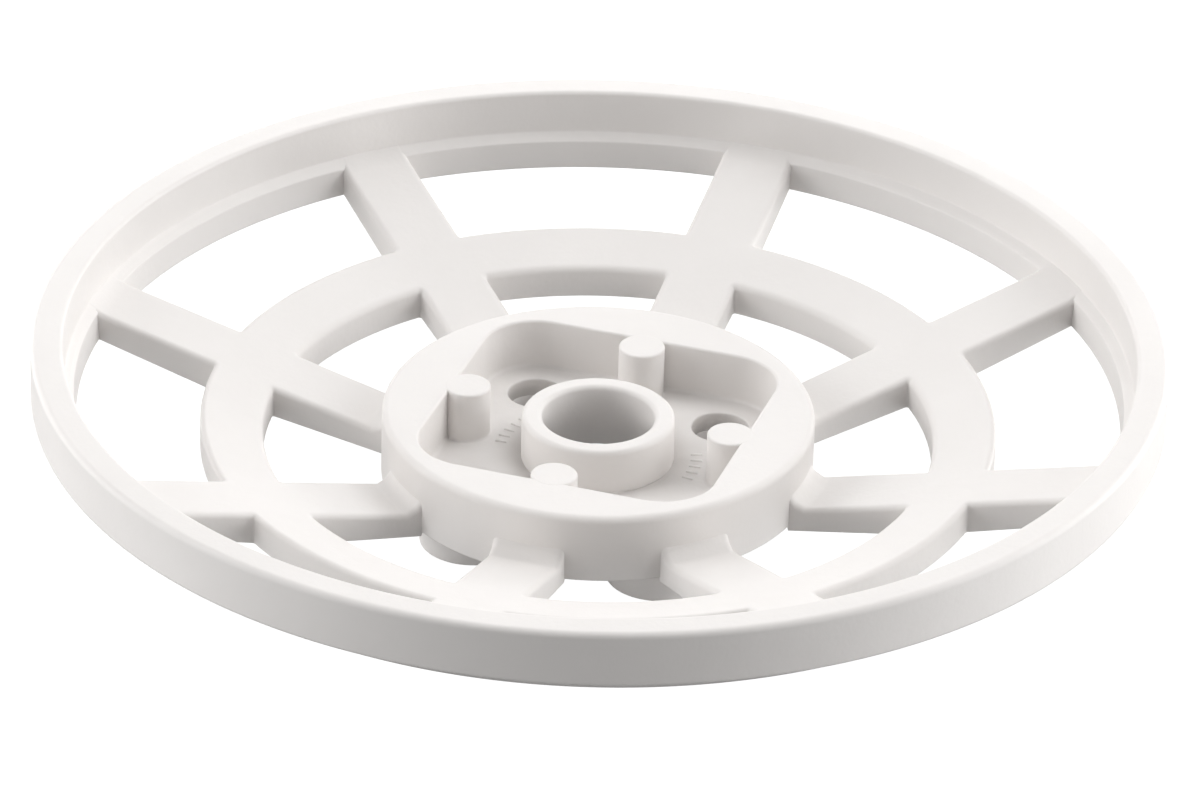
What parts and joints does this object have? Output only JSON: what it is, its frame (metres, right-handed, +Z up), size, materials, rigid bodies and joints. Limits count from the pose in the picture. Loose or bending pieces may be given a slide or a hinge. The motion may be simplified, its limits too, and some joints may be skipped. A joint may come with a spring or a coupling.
{
  "type": "film developing reel flange",
  "caption": "Dished round plastic reel flange with an upstanding rim, spoked web, open hub with a square pocket, spindle collar, drive pins and socket bosses.",
  "frame": {"origin": "on the axis of the spindle bore, at the height of the lower ends of the four socket bosses on which the disc rests", "axes": "+Z up along the spindle axis, towards the open side of the hub; +X through one spoke and one socket"},
  "size_m": [0.09, 0.09, 0.0155],
  "materials": {
    "white_plastic": "matte moulded white plastic with a fine grain"
  },
  "bodies": {
    "root": {"rim_wall": "white_plastic", "rim_foot": "white_plastic", "web_ring": "white_plastic", "outer_spoke_1": "white_plastic", "outer_spoke_2": "white_plastic", "outer_spoke_3": "white_plastic", "outer_spoke_4": "white_plastic", "outer_spoke_5": "white_plastic", "outer_spoke_6": "white_plastic", "outer_spoke_7": "white_plastic", "outer_spoke_8": "white_plastic", "inner_spoke_1": "white_plastic", "inner_spoke_2": "white_plastic", "inner_spoke_3": "white_plastic", "inner_spoke_4": "white_plastic", "inner_spoke_5": "white_plastic", "inner_spoke_6": "white_plastic", "inner_spoke_7": "white_plastic", "inner_spoke_8": "white_plastic", "hub_wall": "white_plastic", "hub_floor": "white_plastic", "spindle_collar": "white_plastic", "drive_pin_1": "white_plastic", "drive_pin_2": "white_plastic", "drive_pin_3": "white_plastic", "drive_pin_4": "white_plastic", "socket_1": "white_plastic", "socket_2": "white_plastic", "socket_3": "white_plastic", "socket_4": "white_plastic"}
  },
  "joints": []
}
